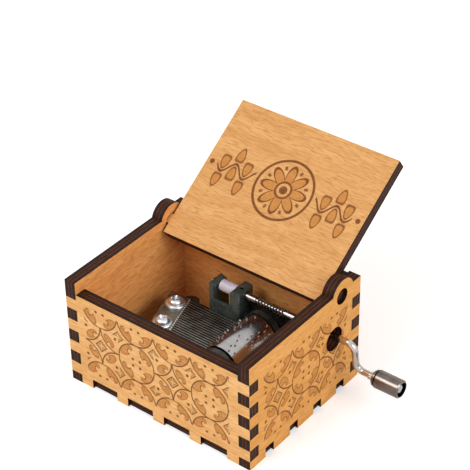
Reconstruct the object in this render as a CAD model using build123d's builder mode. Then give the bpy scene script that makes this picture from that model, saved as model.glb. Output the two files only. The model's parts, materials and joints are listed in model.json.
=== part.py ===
from build123d import *
import os
from math import cos, hypot, pi, radians, sin, sqrt, tan

# Hand cranked music box: a finger jointed plywood case with a lid on two wooden
# pivots, and inside it a movement whose worm turns a pinned drum against a steel comb.
# Millimetres. The origin is the middle of the case's footprint, on the surface it
# stands on. X runs along the front, towards the crank; Y runs towards the back.

os.makedirs("parts", exist_ok=True)

# ---------------------------------------------------------------- driving dimensions

# Plywood case
box_width = 65.0
box_depth = 51.0
side_height = 35.8
ply = 3.8
floor_ply = 3.2
joint_gap = 0.05
finger_levels = 8
first_finger = 3.05
top_finger = 5.73
tab_recess = 1.0
front_tab_width = 9.2
front_tab_pitch = 0.204 * box_width
side_tab_width = 3.6
side_tab_pitch = 0.218 * box_depth
tabs_per_edge = 4

# Lid and its pivots
lid_open_angle = 34.3
lid_side_gap = 0.8
lid_rest_gap = 0.15
lean_gap = 0.08
pivot_setback = 5.1
pivot_width = 3.0
pivot_gap = 0.08
pivot_recess = 1.0
swing_gap = 0.2
ear_radius = 4.95
ear_shift_y = 0.4
ear_shift_z = 0.5

# Drum, with its place in the case
drum_x = 0.151 * box_width
drum_height = 12.15
drum_radius = 6.0
drum_wall = 0.6
drum_length = 0.341 * box_depth
pin_height = 0.5
pin_radius = 0.3
pins_per_track = 5
beats_per_turn = 48
track_stagger = 19
note_step = 9
cap_thickness = 1.2
cap_inset = 0.4
arbor_radius = 1.0
arbor_chamfer = 0.25
arbor_past_plate = 0.6
arbor_past_wheel = 1.2
hub_radius = 2.3

# Comb
tooth_count = 18
tooth_share = 0.71
tooth_end_gap = 0.35
comb_above_axis = 0.45
comb_base_thickness = 2.2
tooth_root_thickness = 1.5
tooth_tip_thickness = 0.7
tooth_sink = 0.5
comb_base_width = 7.3
comb_past_drum = 0.1
back_screw_share = 0.24
front_screw_share = 0.22
comb_root_x = -0.236 * box_width
comb_slant = 0.305
tip_gap = 0.06

# Worm and worm wheel
shaft_setback = 7.5
wheel_teeth = 28
worm_pitch = 1.05
worm_pitch_radius = 1.02
worm_addendum = 0.23
worm_dedendum = 0.27
worm_turns = 9
thread_crest_share = 0.25
thread_root_share = 0.57
thread_sink = 0.15
thread_steps = 8
wheel_addendum = 0.19
wheel_dedendum = 0.42
wheel_width = 2.2
tooth_crest_share = 0.27
tooth_root_share = 0.60
drum_to_shaft = 6.0

# Crank, its handle and the knob
shaft_radius = 1.1
shaft_past_bracket = 0.6
shaft_bore_gap = 0.04
wire_radius = 1.0
spigot_radius = 0.65
spigot_length = 4.0
socket_depth = 4.3
handle_start_setback = 6.0
wire_bend_radius = 2.5
crank_reach = 6.2
crank_arm = 9.2
crank_lean = 8.0
crimp_length = 1.3
crimp_width = 2.9
crimp_thickness = 1.2
crimp_corner = 0.45
knob_offset = 6.2
knob_length = 9.1
knob_radius = 2.75
knob_neck_radius = 2.45
knob_neck_length = 0.9
knob_chamfer = 0.35
knob_groove = 0.35
knob_bore_gap = 0.05
knob_cup_radius = 2.15
knob_cup_depth = 2.0
retainer_radius = 1.8
retainer_thickness = 0.5
wire_past_retainer = 0.4
end_play = 0.12
crank_hole_radius = 3.75
crank_hole_shift_y = -1.0
crank_hole_shift_z = -0.05

# Crank bracket: two lugs on a block
bracket_to_drum = 20.4
bracket_length = 11.4
bracket_depth = 7.2
bracket_corner = 0.9
left_lug_length = 2.0
right_lug_length = 3.3
left_lug_rise = 1.5
right_lug_rise = 1.7
web_drop = 3.75
boss_radius = 0.9
boss_height = 0.35
sleeve_radius = 1.8
sleeve_left_gap = 0.6
sleeve_right_gap = 0.1

# Frame, bearings and fasteners
base_thickness = 2.2
base_left_margin = 3.7
base_right_past_drum = 8.7
base_back_margin = 2.9
base_front_past_foot = 0.4
base_corner = 2.0
land_past_comb = 2.2
land_inset = 0.3
plate_thickness = 1.8
bearing_gap = 0.03
front_plate_radius = 5.9
front_plate_gap = 0.8
rear_plate_radius = 6.2
rear_plate_gap = 0.7
plate_spread = 1.6
guard_thickness = 1.8
guard_lug_gap = 0.1
guard_worm_gap = 0.1
foot_length = 0.086 * box_depth
foot_thickness = 1.4
foot_corner = 0.8
foot_screw_spread = 4.4
thrust_gap = 0.1
fit_gap = 0.02
comb_screw_radius = 1.4
comb_screw_flange_radius = 3.0
comb_screw_flange_height = 0.5
comb_screw_head_radius = 2.2
comb_screw_head_height = 1.9
comb_screw_head_chamfer = 0.7
comb_screw_length = 7.0
foot_screw_radius = 0.8
foot_screw_head_radius = 1.6
foot_screw_head_height = 1.0
foot_screw_head_chamfer = 0.4
foot_screw_length = 3.2
sunk_screw_radius = 1.2
sunk_head_radius = 2.3
sunk_head_angle = 90
mounting_screw_length = 7.6
mounting_boss_radius = 2.7
mounting_boss_height = 3.4
mounting_inset = 4.2
bracket_screw_length = 7.0
screw_tip_gap = 0.4

# ------------------------------------------------------------------- derived places

half_width = box_width / 2
half_depth = box_depth / 2
inner_half_width = half_width - ply
inner_half_depth = half_depth - ply

finger_pitch = (side_height - first_finger - top_finger) / (finger_levels - 1)
levels = [first_finger + i * finger_pitch for i in range(finger_levels)]
wall_bands = list(zip(levels[0::2], levels[1::2]))
side_bands = list(zip([0.0] + levels[1::2], levels[0::2] + [side_height]))
tab_steps = [i - (tabs_per_edge - 1) / 2 for i in range(tabs_per_edge)]
front_tabs = [step * front_tab_pitch for step in tab_steps]
side_tabs = [step * side_tab_pitch for step in tab_steps]
slot_height = floor_ply + joint_gap

open_slope = radians(lid_open_angle)
pivot_y = inner_half_depth - pivot_setback
pivot_z = side_height - ply / 2
pivot_hole_radius = hypot(pivot_width, ply) / 2 + pivot_gap
lid_tail = sqrt((pivot_setback - swing_gap) ** 2 - (ply / 2) ** 2)
lid_reach = pivot_y + half_depth
lid_half_width = inner_half_width - lid_side_gap
front_top = side_height - ply - lid_rest_gap
back_top = pivot_z + pivot_setback * tan(open_slope) - ply / 2 / cos(open_slope) - lean_gap

wheel_radius = wheel_teeth * worm_pitch / (2 * pi)
worm_outer = worm_pitch_radius + worm_addendum
worm_core = worm_pitch_radius - worm_dedendum
drum_z = floor_ply + drum_height
shaft_y = inner_half_depth - shaft_setback
shaft_z = drum_z + wheel_radius + worm_pitch_radius
drum_back = shaft_y - drum_to_shaft
drum_front = drum_back - drum_length
pin_circle = drum_radius + pin_height
rear_plate_y = drum_back + rear_plate_gap
front_plate_y = drum_front - front_plate_gap
foot_back = front_plate_y - plate_thickness
foot_front = foot_back - foot_length

base_top = floor_ply + base_thickness
guard_front = shaft_y + wheel_width / 2 + thrust_gap
guard_top = shaft_z - worm_outer - guard_worm_gap
base_left = base_left_margin - inner_half_width
base_right = drum_x + base_right_past_drum
base_back = inner_half_depth - base_back_margin
base_front = foot_front - base_front_past_foot

comb_back = drum_back + comb_past_drum
comb_front = drum_front + tooth_end_gap
tooth_pitch = (comb_back - tooth_end_gap - comb_front) / tooth_count
tooth_width = tooth_share * tooth_pitch
tooth_ys = [comb_front + (i + 0.5) * tooth_pitch for i in range(tooth_count)]
comb_top = drum_z + comb_above_axis
comb_bottom = comb_top - comb_base_thickness
tip_x = drum_x - pin_circle - tip_gap
land_top = comb_bottom


def root_x(y):
    """Where a tooth springs from the comb's base, whose edge slants across the case."""
    return comb_root_x + comb_slant * (comb_back - y)


comb_length = comb_back - comb_front
comb_screw_ys = [comb_back - back_screw_share * comb_length, comb_front + front_screw_share * comb_length]
comb_screws_at = [(root_x(y) - comb_base_width / 2, y) for y in comb_screw_ys]

bracket_left = drum_x - bracket_to_drum
bracket_right = bracket_left + bracket_length
bracket_x = (bracket_left + bracket_right) / 2
web_top = shaft_z - web_drop
guard_left = bracket_right + guard_lug_gap
sleeve_start = bracket_left + left_lug_length + sleeve_left_gap
sleeve_end = bracket_right - right_lug_length - sleeve_right_gap

foot_y = (foot_front + foot_back) / 2
foot_screws_at = [(drum_x + side * foot_screw_spread, foot_y) for side in (-1, 1)]
mounting_screws_at = [
    (base_left + mounting_inset, base_front + mounting_inset),
    (base_left + mounting_inset, base_back - mounting_inset),
    (base_right - mounting_inset, base_back - mounting_inset),
]

sunk_hole_radius = sunk_screw_radius + fit_gap
sunk_seat_radius = sunk_head_radius + fit_gap

worm_start = drum_x - worm_turns * worm_pitch / 2
worm_end = drum_x + worm_turns * worm_pitch / 2
handle_start = inner_half_width - handle_start_setback
crank_x = half_width + crank_reach
knob_y = shaft_y + crank_arm * sin(radians(crank_lean))
knob_z = shaft_z - crank_arm * cos(radians(crank_lean))
knob_start = crank_x + knob_offset
knob_end = knob_start + knob_length
cup_floor = knob_end - knob_cup_depth
retainer_start = cup_floor + end_play
retainer_end = retainer_start + retainer_thickness
wire_end = retainer_end + wire_past_retainer

# ---------------------------------------------------------------------- plywood case

# Floor, with tabs on all four edges that stop short of the walls' outer faces.
with BuildPart() as bottom_panel:
    with BuildSketch(Plane.XY):
        Rectangle(2 * (inner_half_width - joint_gap), 2 * (inner_half_depth - joint_gap))
        with Locations(*[(x, 0) for x in front_tabs]):
            Rectangle(front_tab_width, box_depth - 2 * tab_recess)
        with Locations(*[(0, y) for y in side_tabs]):
            Rectangle(box_width - 2 * tab_recess, side_tab_width)
    extrude(amount=floor_ply)
    with Locations(*[Location((x, y, 0), (180, 0, 0)) for x, y in mounting_screws_at]):
        CounterSinkHole(sunk_hole_radius, sunk_seat_radius, floor_ply, sunk_head_angle)
bottom_panel.part.label = "bottom_panel"
export_step(bottom_panel.part, "parts/bottom_panel.step")


# Front and back walls: their fingers fill the gaps between the side walls' fingers.
def cross_wall_outline(top):
    with Locations((0, top / 2)):
        Rectangle(2 * (inner_half_width - joint_gap), top)
    for low, high in wall_bands:
        with Locations((0, (low + high) / 2)):
            Rectangle(box_width, high - low - 2 * joint_gap)
    with Locations(*[(x, slot_height / 2) for x in front_tabs]):
        Rectangle(front_tab_width + 2 * joint_gap, slot_height, mode=Mode.SUBTRACT)


with BuildPart() as front_wall:
    with BuildSketch(Plane.XZ.offset(half_depth)):
        cross_wall_outline(front_top)
    extrude(amount=-ply)
front_wall.part.label = "front_wall"
export_step(front_wall.part, "parts/front_wall.step")

with BuildPart() as back_wall:
    with BuildSketch(Plane.XZ.offset(-half_depth)):
        cross_wall_outline(back_top)
    extrude(amount=ply)
back_wall.part.label = "back_wall"
export_step(back_wall.part, "parts/back_wall.step")


# Side walls: each carries a round ear with the hole for one of the lid's pivots.
def side_wall_outline():
    with Locations((0, side_height / 2)):
        Rectangle(2 * (inner_half_depth - joint_gap), side_height)
    for low, high in side_bands:
        with Locations((0, (low + high) / 2)):
            Rectangle(box_depth, high - low)
    with Locations((pivot_y + ear_shift_y, pivot_z + ear_shift_z)):
        Circle(ear_radius)
    with Locations((pivot_y, pivot_z)):
        Circle(pivot_hole_radius, mode=Mode.SUBTRACT)
    with Locations(*[(y, slot_height / 2) for y in side_tabs]):
        Rectangle(side_tab_width + 2 * joint_gap, slot_height, mode=Mode.SUBTRACT)


with BuildPart() as left_wall:
    with BuildSketch(Plane.YZ.offset(-half_width)):
        side_wall_outline()
    extrude(amount=ply)
left_wall.part.label = "left_wall"
export_step(left_wall.part, "parts/left_wall.step")

# The right wall also has the wide hole that the crank comes through.
with BuildPart() as right_wall:
    with BuildSketch(Plane.YZ.offset(inner_half_width)):
        side_wall_outline()
        with Locations((shaft_y + crank_hole_shift_y, shaft_z + crank_hole_shift_z)):
            Circle(crank_hole_radius, mode=Mode.SUBTRACT)
    extrude(amount=ply)
right_wall.part.label = "right_wall"
export_step(right_wall.part, "parts/right_wall.step")

# The lid is drawn on its own middle plane, which leans back against the back wall. A
# tab on each side turns in its ear, and the tail behind them swings inside the case.
lid_upwards = (0, -sin(open_slope), cos(open_slope))
lid_plane = Plane(origin=(0, pivot_y, pivot_z), x_dir=(1, 0, 0), z_dir=lid_upwards)
with BuildPart() as lid:
    with BuildSketch(lid_plane):
        with Locations((0, (lid_reach - lid_tail) / 2)):
            Rectangle(2 * lid_half_width, lid_reach + lid_tail)
        Rectangle(2 * (half_width - pivot_recess), pivot_width)
    extrude(amount=ply / 2, both=True)
lid.part.label = "lid"
export_step(lid.part, "parts/lid.step")

# ------------------------------------------------------------ movement: fixed pieces


# An upright plane across the drum's axis, seen from the front.
def across_drum(y):
    return Plane(origin=(drum_x, y, drum_z), x_dir=(1, 0, 0), z_dir=(0, -1, 0))


# A bearing plate is round about the drum's axis and splays down to the base.
def bearing_outline(radius):
    foot = radius + plate_spread
    Circle(radius)
    Polygon((-radius, 0), (-foot, base_top - drum_z), (foot, base_top - drum_z), (radius, 0), align=None)
    Circle(arbor_radius + bearing_gap, mode=Mode.SUBTRACT)


# The comb's slanted base, or with an inset the land under it.
def comb_base_outline(inset):
    Polygon(
        (root_x(comb_front) - inset, comb_front),
        (root_x(comb_back) - inset, comb_back),
        (root_x(comb_back) - comb_base_width, comb_back),
        (root_x(comb_front) - comb_base_width, comb_front),
        align=None,
    )


# Cast frame: base, land under the comb, rear bearing, a guard behind the worm wheel that
# steadies the arbor's end, and a boss for each screw that comes up through the floor.
with BuildPart() as movement_frame:
    with BuildSketch(Plane.XY.offset(floor_ply)):
        with Locations(((base_left + base_right) / 2, (base_front + base_back) / 2)):
            RectangleRounded(base_right - base_left, base_back - base_front, base_corner)
    extrude(amount=base_thickness)
    with BuildSketch(Plane.XY.offset(floor_ply)):
        comb_base_outline(land_inset)
        with Locations((root_x(comb_back) - (comb_base_width + land_inset) / 2, comb_back)):
            Rectangle(comb_base_width - land_inset, 2 * land_past_comb)
    extrude(amount=land_top - floor_ply)
    with BuildSketch(across_drum(rear_plate_y)):
        bearing_outline(rear_plate_radius)
    extrude(amount=-plate_thickness)
    with BuildSketch(Plane.XZ.offset(-guard_front)):
        with Locations(((guard_left + base_right) / 2, (base_top + guard_top) / 2)):
            Rectangle(base_right - guard_left, guard_top - base_top)
        with Locations((drum_x, drum_z)):
            Circle(arbor_radius + bearing_gap, mode=Mode.SUBTRACT)
    extrude(amount=-guard_thickness)
    with BuildSketch(Plane.XY.offset(base_top)):
        with Locations(*mounting_screws_at):
            Circle(mounting_boss_radius)
    extrude(amount=mounting_boss_height)
    with Locations(*[(x, y, base_top + mounting_boss_height) for x, y in mounting_screws_at]):
        Hole(sunk_hole_radius, base_thickness + mounting_boss_height)
    with Locations(*[(x, y, land_top) for x, y in comb_screws_at]):
        Hole(comb_screw_radius + fit_gap, comb_screw_length)
    with Locations(*[(x, y, base_top) for x, y in foot_screws_at]):
        Hole(foot_screw_radius + fit_gap, base_thickness)
    with Locations(Location((bracket_x, shaft_y, floor_ply), (180, 0, 0))):
        CounterSinkHole(sunk_hole_radius, sunk_seat_radius, base_thickness, sunk_head_angle)
movement_frame.part.label = "movement_frame"
export_step(movement_frame.part, "parts/movement_frame.step")

# Front bearing plate, with a foot that two screws hold down on the base.
with BuildPart() as front_bearing:
    with BuildSketch(across_drum(front_plate_y)):
        bearing_outline(front_plate_radius)
    extrude(amount=plate_thickness)
    with BuildSketch(Plane.XY.offset(base_top)):
        with Locations((drum_x, (foot_front + front_plate_y) / 2)):
            RectangleRounded(2 * (front_plate_radius + plate_spread), front_plate_y - foot_front, foot_corner)
    extrude(amount=foot_thickness)
    with Locations(*[(x, y, base_top + foot_thickness) for x, y in foot_screws_at]):
        Hole(foot_screw_radius + fit_gap, foot_thickness)
front_bearing.part.label = "front_bearing"
export_step(front_bearing.part, "parts/front_bearing.step")

with BuildPart() as bearing_screws:
    with BuildSketch(Plane.XY.offset(base_top + foot_thickness)):
        with Locations(*foot_screws_at):
            Circle(foot_screw_head_radius)
    extrude(amount=foot_screw_head_height)
    chamfer(bearing_screws.edges().group_by(Axis.Z)[-1], foot_screw_head_chamfer)
    with BuildSketch(Plane.XY.offset(base_top + foot_thickness)):
        with Locations(*foot_screws_at):
            Circle(foot_screw_radius)
    extrude(amount=-foot_screw_length)
bearing_screws.part.label = "bearing_screws"
export_step(bearing_screws.part, "parts/bearing_screws.step")

# Comb: a thick base with a slanted edge, and teeth that thin towards their tips. The
# tips lie level with the drum's axis, just clear of the circle that the pins sweep.
with BuildPart() as comb:
    with BuildSketch(Plane.XY.offset(comb_bottom)):
        comb_base_outline(0)
    extrude(amount=comb_base_thickness)
    for y in tooth_ys:
        with BuildSketch(Plane.XZ.offset(tooth_width / 2 - y)):
            Polygon(
                (root_x(y) - tooth_sink, comb_top),
                (tip_x, comb_top),
                (tip_x, comb_top - tooth_tip_thickness),
                (root_x(y), comb_top - tooth_root_thickness),
                (root_x(y) - tooth_sink, comb_top - tooth_root_thickness),
                align=None,
            )
    extrude(amount=-tooth_width)
    with Locations(*[(x, y, comb_top) for x, y in comb_screws_at]):
        Hole(comb_screw_radius + fit_gap, comb_base_thickness)
comb.part.label = "comb"
export_step(comb.part, "parts/comb.step")

# Two flanged pan head screws clamp the comb to its land.
with BuildPart() as comb_screws:
    with BuildSketch(Plane.XY.offset(comb_top)):
        with Locations(*comb_screws_at):
            Circle(comb_screw_flange_radius)
    extrude(amount=comb_screw_flange_height)
    with BuildSketch(Plane.XY.offset(comb_top)):
        with Locations(*comb_screws_at):
            Circle(comb_screw_head_radius)
    extrude(amount=comb_screw_head_height)
    chamfer(comb_screws.edges().group_by(Axis.Z)[-1], comb_screw_head_chamfer)
    with BuildSketch(Plane.XY.offset(comb_top)):
        with Locations(*comb_screws_at):
            Circle(comb_screw_radius)
    extrude(amount=-comb_screw_length)
comb_screws.part.label = "comb_screws"
export_step(comb_screws.part, "parts/comb_screws.step")


# Crank bracket: a block with a lug at each end, through which the shaft runs.
with BuildPart() as crank_bracket:
    for left, length, top in (
        (bracket_left, bracket_length, web_top),
        (bracket_left, left_lug_length, shaft_z + left_lug_rise),
        (bracket_right - right_lug_length, right_lug_length, shaft_z + right_lug_rise),
    ):
        with BuildSketch(Plane.XY.offset(base_top)):
            with Locations((left + length / 2, shaft_y)):
                RectangleRounded(length, bracket_depth, bracket_corner)
        extrude(amount=top - base_top)
    with BuildSketch(Plane.XY.offset(shaft_z + right_lug_rise)):
        with Locations((bracket_right - right_lug_length / 2, shaft_y)):
            Circle(boss_radius)
    extrude(amount=boss_height)
    with BuildSketch(Plane(origin=(bracket_left, shaft_y, shaft_z), z_dir=(1, 0, 0))):
        Circle(shaft_radius + shaft_bore_gap)
    extrude(amount=bracket_length, mode=Mode.SUBTRACT)
    with BuildSketch(Plane.XY.offset(base_top)):
        with Locations((bracket_x, shaft_y)):
            Circle(sunk_hole_radius)
    extrude(amount=bracket_screw_length - base_thickness, mode=Mode.SUBTRACT)
crank_bracket.part.label = "crank_bracket"
export_step(crank_bracket.part, "parts/crank_bracket.step")


# Half the section of a countersunk screw that points upwards, with its head flush.
def sunk_screw_outline(length):
    Polygon(
        (0, 0),
        (sunk_head_radius, 0),
        (sunk_screw_radius, sunk_head_radius - sunk_screw_radius),
        (sunk_screw_radius, length),
        (0, length),
        align=None,
    )


# One holds the bracket to the frame, and three hold the frame to the floor.
with BuildPart() as bracket_screw:
    middle = (bracket_x, shaft_y, floor_ply)
    with BuildSketch(Plane(origin=middle, x_dir=(1, 0, 0), z_dir=(0, -1, 0))):
        sunk_screw_outline(bracket_screw_length - screw_tip_gap)
    revolve(axis=Axis((bracket_x, shaft_y, 0), (0, 0, 1)))
bracket_screw.part.label = "bracket_screw"
export_step(bracket_screw.part, "parts/bracket_screw.step")

with BuildPart() as mounting_screws:
    for x, y in mounting_screws_at:
        with BuildSketch(Plane(origin=(x, y, 0), x_dir=(1, 0, 0), z_dir=(0, -1, 0))):
            sunk_screw_outline(mounting_screw_length)
        revolve(axis=Axis((x, y, 0), (0, 0, 1)))
mounting_screws.part.label = "mounting_screws"
export_step(mounting_screws.part, "parts/mounting_screws.step")

# ----------------------------------------------------------- movement: drum and wheel

# Drum: a tube with a track of pins under each tooth of the comb. Each track starts at
# its own beat and steps round unevenly, as a tune does.
with BuildPart() as drum:
    with BuildSketch(across_drum(drum_front)):
        Circle(drum_radius)
    extrude(amount=-drum_length)
    pin_planes = []
    for track, y in enumerate(tooth_ys):
        for note in range(pins_per_track):
            beat = (track * track_stagger + note * note_step + note * note * (track % 3)) % beats_per_turn
            turn = 2 * pi * beat / beats_per_turn
            out = Vector(cos(turn), 0, sin(turn))
            seat = Vector(drum_x, y, drum_z) + out * (drum_radius - pin_height)
            pin_planes.append(Plane(origin=seat, x_dir=(0, 1, 0), z_dir=out))
    with BuildSketch(*pin_planes):
        RegularPolygon(pin_radius, 4)
    extrude(amount=2 * pin_height)
    with BuildSketch(across_drum(drum_front)):
        Circle(drum_radius - drum_wall)
    extrude(amount=-drum_length, mode=Mode.SUBTRACT)
drum.part.label = "drum"
export_step(drum.part, "parts/drum.step")


# An end cap closes each end of the drum, and its boss runs against the bearing plate.
for name, drum_end, outwards, gap in (
    ("front_cap", drum_front, -1, front_plate_gap),
    ("rear_cap", drum_back, 1, rear_plate_gap),
):
    cap_inside = drum_end - outwards * (cap_inset + cap_thickness)
    boss_end = drum_end + outwards * (gap - thrust_gap)
    with BuildPart() as end_cap:
        with BuildSketch(across_drum(cap_inside)):
            Circle(drum_radius - drum_wall - fit_gap)
        extrude(amount=-outwards * cap_thickness)
        with BuildSketch(across_drum(cap_inside)):
            Circle(hub_radius)
        extrude(amount=cap_inside - boss_end)
        with BuildSketch(across_drum(cap_inside)):
            Circle(arbor_radius + fit_gap)
        extrude(amount=cap_inside - boss_end, mode=Mode.SUBTRACT)
    end_cap.part.label = name
    export_step(end_cap.part, f"parts/{name}.step")

wheel_front = shaft_y - wheel_width / 2
wheel_hub_front = rear_plate_y + plate_thickness + thrust_gap
arbor_front = front_plate_y - plate_thickness - arbor_past_plate
arbor_back = shaft_y + wheel_width / 2 + arbor_past_wheel
with BuildPart() as arbor:
    with BuildSketch(across_drum(arbor_front)):
        Circle(arbor_radius)
    extrude(amount=arbor_front - arbor_back)
    chamfer(arbor.edges(), arbor_chamfer)
arbor.part.label = "arbor"
export_step(arbor.part, "parts/arbor.step")

# Worm wheel: its teeth are skewed by the worm's lead angle, so the outline at the back
# is turned against the outline at the front.
wheel_tip = wheel_radius + wheel_addendum
wheel_root = wheel_radius - wheel_dedendum
wheel_twist = wheel_width * worm_pitch / (2 * pi * worm_pitch_radius) / wheel_radius


def wheel_outline(twist):
    half_root = tooth_root_share * worm_pitch / 2 / wheel_root
    half_crest = tooth_crest_share * worm_pitch / 2 / wheel_tip
    outline = []
    for tooth in range(wheel_teeth):
        middle = pi / 2 + 2 * pi * tooth / wheel_teeth - twist
        outline.append((wheel_root * cos(middle - half_root), wheel_root * sin(middle - half_root)))
        outline.append((wheel_tip * cos(middle - half_crest), wheel_tip * sin(middle - half_crest)))
        outline.append((wheel_tip * cos(middle + half_crest), wheel_tip * sin(middle + half_crest)))
        outline.append((wheel_root * cos(middle + half_root), wheel_root * sin(middle + half_root)))
    Polygon(*outline, align=None)


with BuildPart() as worm_wheel:
    with BuildSketch(across_drum(wheel_front)):
        wheel_outline(-wheel_twist / 2)
    with BuildSketch(across_drum(wheel_front + wheel_width)):
        wheel_outline(wheel_twist / 2)
    loft(ruled=True)
    with BuildSketch(across_drum(wheel_hub_front)):
        Circle(hub_radius)
    extrude(amount=wheel_hub_front - wheel_front - wheel_width / 2)
    with BuildSketch(across_drum(wheel_hub_front)):
        Circle(arbor_radius + fit_gap)
    extrude(amount=wheel_hub_front - wheel_front - wheel_width, mode=Mode.SUBTRACT)
worm_wheel.part.label = "worm_wheel"
export_step(worm_wheel.part, "parts/worm_wheel.step")

# -------------------------------------------------------------------- movement: crank


# A plane across the crank's axis, facing the handle.
def across_shaft(x):
    return Plane(origin=(x, shaft_y, shaft_z), x_dir=(0, 1, 0), z_dir=(1, 0, 0))


# Crank shaft: the worm's thread is a ruled loft through its section at each step round
# the helix, sunk into a turned shaft that is necked down under it. Over the drum's axis
# it points up, so a gap of the thread holds the wheel's top tooth.
with BuildPart() as crank_shaft:
    for step in range(round(worm_turns * thread_steps) + 1):
        x = worm_start + worm_pitch * step / thread_steps
        turn = pi / 2 + 2 * pi * (x - drum_x) / worm_pitch
        out = (0, cos(turn), sin(turn))
        onwards = (0, sin(turn), -cos(turn))
        with BuildSketch(Plane(origin=(x, shaft_y, shaft_z), x_dir=out, z_dir=onwards)):
            with BuildLine():
                Polyline(
                    (worm_core - thread_sink, -thread_root_share * worm_pitch / 2),
                    (worm_outer, -thread_crest_share * worm_pitch / 2),
                    (worm_outer, thread_crest_share * worm_pitch / 2),
                    (worm_core - thread_sink, thread_root_share * worm_pitch / 2),
                    close=True,
                )
            make_face()
    loft(ruled=True)
    with BuildSketch(Plane(origin=(0, shaft_y, shaft_z), x_dir=(1, 0, 0), z_dir=(0, -1, 0))):
        with BuildLine():
            Polyline(
                (bracket_left - shaft_past_bracket, 0),
                (bracket_left - shaft_past_bracket, shaft_radius),
                (worm_start - worm_pitch / 2, shaft_radius),
                (worm_start - worm_pitch / 2, worm_core),
                (worm_end + worm_pitch / 2, worm_core),
                (worm_end + worm_pitch / 2, shaft_radius),
                (handle_start, shaft_radius),
                (handle_start, spigot_radius + fit_gap),
                (handle_start - socket_depth, spigot_radius + fit_gap),
                (handle_start - socket_depth, 0),
                close=True,
            )
        make_face()
    revolve(axis=Axis((0, shaft_y, shaft_z), (1, 0, 0)))
crank_shaft.part.label = "crank_shaft"
export_step(crank_shaft.part, "parts/crank_shaft.step")

# Plastic sleeve: fast on the shaft, it keeps the shaft in place between the lugs.
with BuildPart() as shaft_sleeve:
    with BuildSketch(across_shaft(sleeve_start)):
        Circle(sleeve_radius)
        Circle(shaft_radius + fit_gap, mode=Mode.SUBTRACT)
    extrude(amount=sleeve_end - sleeve_start)
shaft_sleeve.part.label = "shaft_sleeve"
export_step(shaft_sleeve.part, "parts/shaft_sleeve.step")

# Crank handle: wire with two bends. Its turned end screws into the shaft, and two
# crimped ears and a retainer keep the knob on its other end.
with BuildPart() as crank_handle:
    with BuildLine():
        FilletPolyline(
            (handle_start, shaft_y, shaft_z),
            (crank_x, shaft_y, shaft_z),
            (crank_x, knob_y, knob_z),
            (wire_end, knob_y, knob_z),
            radius=wire_bend_radius,
        )
    with BuildSketch(across_shaft(handle_start)):
        Circle(wire_radius)
    sweep()
    with BuildSketch(across_shaft(handle_start)):
        Circle(spigot_radius)
    extrude(amount=-spigot_length)
    with BuildSketch(Plane(origin=(knob_start - end_play - crimp_length, knob_y, knob_z), z_dir=(1, 0, 0))):
        RectangleRounded(crimp_width, crimp_thickness, crimp_corner, rotation=90)
    extrude(amount=crimp_length)
crank_handle.part.label = "crank_handle"
export_step(crank_handle.part, "parts/crank_handle.step")

# Knob: turned, with a slimmer neck, a groove behind it and a cup in its outer end.
bore = wire_radius + knob_bore_gap
groove_start = knob_start + knob_neck_length
with BuildPart() as knob:
    with BuildSketch(Plane(origin=(0, knob_y, knob_z), x_dir=(1, 0, 0), z_dir=(0, -1, 0))):
        with BuildLine():
            Polyline(
                (knob_start, bore),
                (knob_start, knob_neck_radius - knob_chamfer),
                (knob_start + knob_chamfer, knob_neck_radius),
                (groove_start, knob_neck_radius),
                (groove_start, knob_neck_radius - knob_groove),
                (groove_start + knob_groove, knob_neck_radius - knob_groove),
                (groove_start + knob_groove, knob_radius),
                (knob_end - knob_chamfer, knob_radius),
                (knob_end, knob_radius - knob_chamfer),
                (knob_end, knob_cup_radius),
                (cup_floor, knob_cup_radius),
                (cup_floor, bore),
                close=True,
            )
        make_face()
    revolve(axis=Axis((0, knob_y, knob_z), (1, 0, 0)))
knob.part.label = "knob"
export_step(knob.part, "parts/knob.step")

with BuildPart() as knob_retainer:
    with BuildSketch(Plane(origin=(retainer_start, knob_y, knob_z), z_dir=(1, 0, 0))):
        Circle(retainer_radius)
        Circle(wire_radius + fit_gap, mode=Mode.SUBTRACT)
    extrude(amount=retainer_thickness)
knob_retainer.part.label = "knob_retainer"
export_step(knob_retainer.part, "parts/knob_retainer.step")
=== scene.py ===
# %% [markdown]
# # A hand cranked music box
# The solid model of the box is finished and fixed: five plywood boards, a lid and a small
# cast movement. This script dresses it. Each cell explains one thing, does it, and prints
# what it made. The frame is loaded first.

# %% Load the frame
import json
from math import cos, pi, radians, sin

import bpy
from mathutils import Matrix, Vector


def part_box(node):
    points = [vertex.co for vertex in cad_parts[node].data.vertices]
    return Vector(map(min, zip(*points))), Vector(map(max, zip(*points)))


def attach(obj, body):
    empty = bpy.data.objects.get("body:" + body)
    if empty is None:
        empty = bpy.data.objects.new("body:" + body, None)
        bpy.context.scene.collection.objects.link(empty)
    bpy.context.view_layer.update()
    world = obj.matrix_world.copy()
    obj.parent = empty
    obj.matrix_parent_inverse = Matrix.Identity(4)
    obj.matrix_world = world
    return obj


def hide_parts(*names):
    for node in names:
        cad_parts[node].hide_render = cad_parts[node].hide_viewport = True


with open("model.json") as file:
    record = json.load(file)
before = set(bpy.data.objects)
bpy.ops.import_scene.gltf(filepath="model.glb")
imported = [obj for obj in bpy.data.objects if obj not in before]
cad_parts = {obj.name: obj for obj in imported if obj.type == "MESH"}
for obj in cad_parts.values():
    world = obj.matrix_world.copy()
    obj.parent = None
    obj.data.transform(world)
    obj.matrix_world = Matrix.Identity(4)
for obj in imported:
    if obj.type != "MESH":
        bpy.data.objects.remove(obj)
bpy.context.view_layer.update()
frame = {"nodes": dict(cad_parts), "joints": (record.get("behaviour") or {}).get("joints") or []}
nodes = frame["nodes"]
mm = 0.001
print("pieces in the frame:", len(nodes))

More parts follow.
